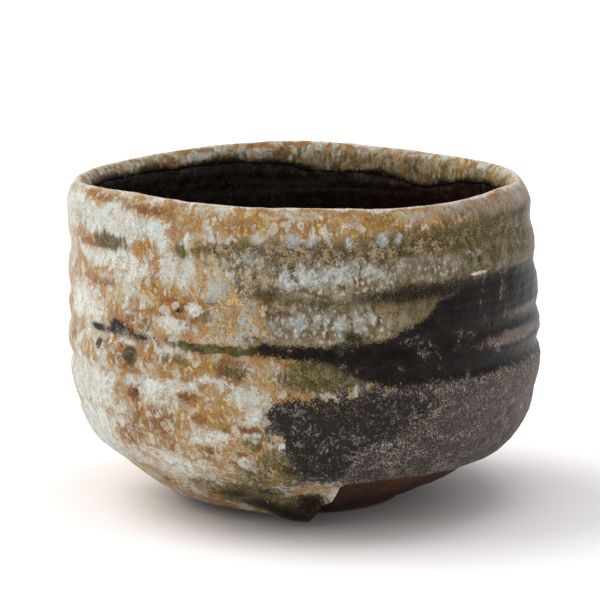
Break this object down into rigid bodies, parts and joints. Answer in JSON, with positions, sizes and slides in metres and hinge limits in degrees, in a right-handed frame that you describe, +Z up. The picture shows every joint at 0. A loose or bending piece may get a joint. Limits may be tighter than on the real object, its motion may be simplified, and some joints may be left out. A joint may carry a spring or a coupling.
{
  "type": "tea bowl",
  "caption": "Hand-thrown stoneware tea bowl with near-upright ridged wall, uneven lip, low foot ring, pale ash glaze outside and dark glaze inside.",
  "frame": {"origin": "on the table under the middle of the bowl", "axes": "+Z up, -Y towards the bowl's front, +X to the right as seen from the front"},
  "size_m": [0.1203, 0.1204, 0.0836],
  "materials": {
    "stoneware_clay": "bare dark red-brown stoneware, matt",
    "foot_clay": "bare dark red-brown stoneware, matt",
    "ash_glaze": "satin ash glaze, pale blue-white with ochre, olive and brown-black areas",
    "liner_glaze": "dark brown-black liner glaze, satin gloss"
  },
  "bodies": {
    "root": {"clay_body": "stoneware_clay", "foot_ring": "foot_clay", "outer_glaze": "ash_glaze", "inner_glaze": "liner_glaze"}
  },
  "joints": []
}
